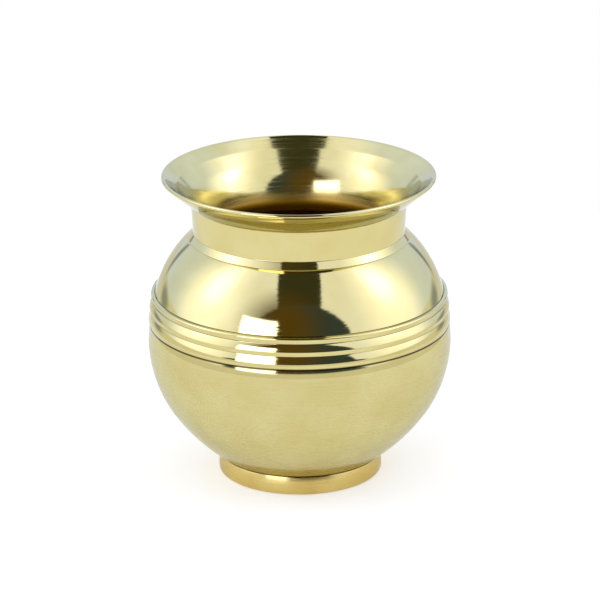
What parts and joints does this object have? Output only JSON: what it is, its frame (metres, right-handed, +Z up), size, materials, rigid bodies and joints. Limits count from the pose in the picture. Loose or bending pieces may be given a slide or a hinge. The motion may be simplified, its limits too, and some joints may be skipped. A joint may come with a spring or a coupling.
{
  "type": "kalash pot",
  "caption": "Round-bellied brass water pot with a wide flared mouth, a narrow neck, a turned rib band round the shoulder and a low ring foot.",
  "frame": {"origin": "middle of the circle on the table that the foot ring stands on", "axes": "+Z up along the axis that every piece is turned about; +X and +Y are equivalent, and the reference view looks along +Y"},
  "size_m": [0.1, 0.1, 0.1022],
  "materials": {
    "polished_brass": "polished, with fine turning lines",
    "satin_brass": "satin",
    "braze": "as brazed"
  },
  "bodies": {
    "root": {"mouth": "polished_brass", "shoulder": "polished_brass", "bowl": "satin_brass", "foot_ring": "satin_brass", "neck_braze": "braze", "belly_braze": "braze", "foot_braze": "braze"}
  },
  "joints": []
}
